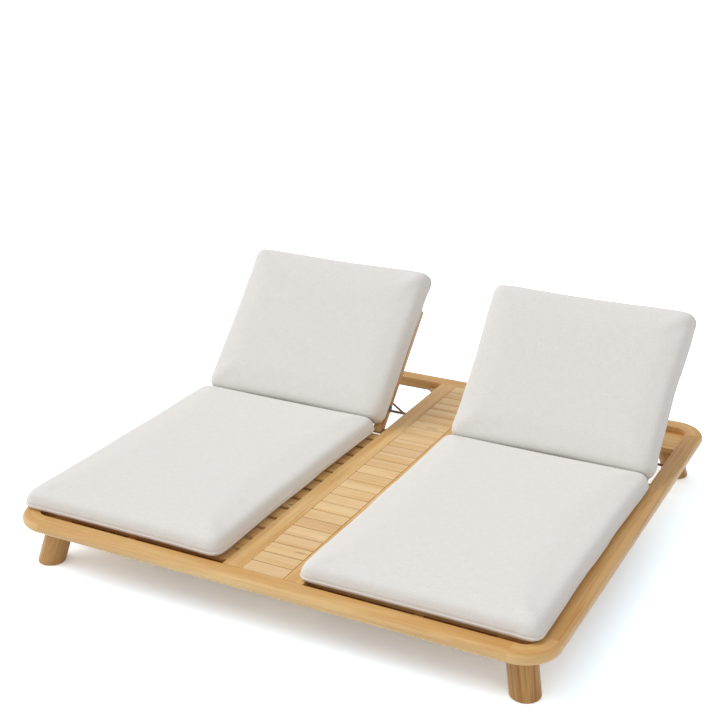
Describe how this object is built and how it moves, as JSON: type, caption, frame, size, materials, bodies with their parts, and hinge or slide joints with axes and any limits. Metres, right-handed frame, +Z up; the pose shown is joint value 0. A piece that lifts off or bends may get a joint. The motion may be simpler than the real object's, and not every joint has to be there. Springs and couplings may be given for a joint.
{
  "type": "double chaise lounger",
  "caption": "Low wooden double lounger with two reclining cushioned seats on splayed round legs and a slatted table between them.",
  "frame": {"origin": "on the floor under the middle of the platform, with the backrests at their raised rest position", "axes": "+X to the right across both seats, seen from the foot end; +Y towards the head end; +Z up"},
  "size_m": [2, 1.91, 0.7333],
  "materials": {
    "teak": "oiled satin, light honey teak",
    "cushion_cover": "matt ivory outdoor weave",
    "webbing": "matt grey-blue webbing",
    "prop_steel": "dark bronze coating, satin",
    "bolt_steel": "plain stainless bolt, satin"
  },
  "bodies": {
    "platform": {"back_left_corner": "teak", "back_left_leg": "teak", "back_left_leg_board": "teak", "back_rail": "teak", "back_right_corner": "teak", "back_right_leg": "teak", "back_right_leg_board": "teak", "corner_blocks": "teak", "front_left_corner": "teak", "front_left_leg": "teak", "front_left_leg_board": "teak", "front_rail": "teak", "front_right_corner": "teak", "front_right_leg": "teak", "front_right_leg_board": "teak", "hinge_bolts": "bolt_steel", "hinge_spacers": "prop_steel", "left_centre_rail": "teak", "left_hinge_beam": "teak", "left_inner_rack": "teak", "left_outer_rack": "teak", "left_seat_cushion": "cushion_cover", "left_seat_joist": "teak", "left_seat_ledgers": "teak", "left_seat_slats": "teak", "left_side_rail": "teak", "leg_bolts": "bolt_steel", "right_centre_rail": "teak", "right_hinge_beam": "teak", "right_inner_rack": "teak", "right_outer_rack": "teak", "right_seat_cushion": "cushion_cover", "right_seat_joist": "teak", "right_seat_ledgers": "teak", "right_seat_slats": "teak", "right_side_rail": "teak", "table_battens": "teak", "table_slats": "teak"},
    "left_backrest": {"left_back_bottom_rail": "teak", "left_back_cushion": "cushion_cover", "left_back_inner_stile": "teak", "left_back_outer_stile": "teak", "left_back_slats": "teak", "left_back_top_rail": "teak", "left_cushion_strap": "webbing", "left_prop_batten": "teak", "left_prop_brackets": "prop_steel"},
    "left_prop_frame": {"left_prop": "prop_steel"},
    "right_backrest": {"right_back_bottom_rail": "teak", "right_back_cushion": "cushion_cover", "right_back_inner_stile": "teak", "right_back_outer_stile": "teak", "right_back_slats": "teak", "right_back_top_rail": "teak", "right_cushion_strap": "webbing", "right_prop_batten": "teak", "right_prop_brackets": "prop_steel"},
    "right_prop_frame": {"right_prop": "prop_steel"}
  },
  "joints": [
    {"name": "left_recline", "type": "hinge", "parent": "platform", "child": "left_backrest", "pos_m": [-0.5415, 0.3211, 0.184], "axis": [1, 0, 0], "range_deg": [-46.7, 0]},
    {"name": "left_prop_fold", "type": "hinge", "parent": "left_backrest", "child": "left_prop_frame", "pos_m": [-0.5415, 0.46482, 0.27382], "axis": [1, 0, 0], "range_deg": [0, 81.5]},
    {"name": "right_recline", "type": "hinge", "parent": "platform", "child": "right_backrest", "pos_m": [0.5415, 0.3211, 0.184], "axis": [1, 0, 0], "range_deg": [-46.7, 0]},
    {"name": "right_prop_fold", "type": "hinge", "parent": "right_backrest", "child": "right_prop_frame", "pos_m": [0.5415, 0.46482, 0.27382], "axis": [1, 0, 0], "range_deg": [0, 81.5]}
  ],
  "couplings": [
    {"joint": "left_prop_fold", "follows": "left_recline", "ratio": -1.7404},
    {"joint": "right_prop_fold", "follows": "right_recline", "ratio": -1.7404}
  ]
}
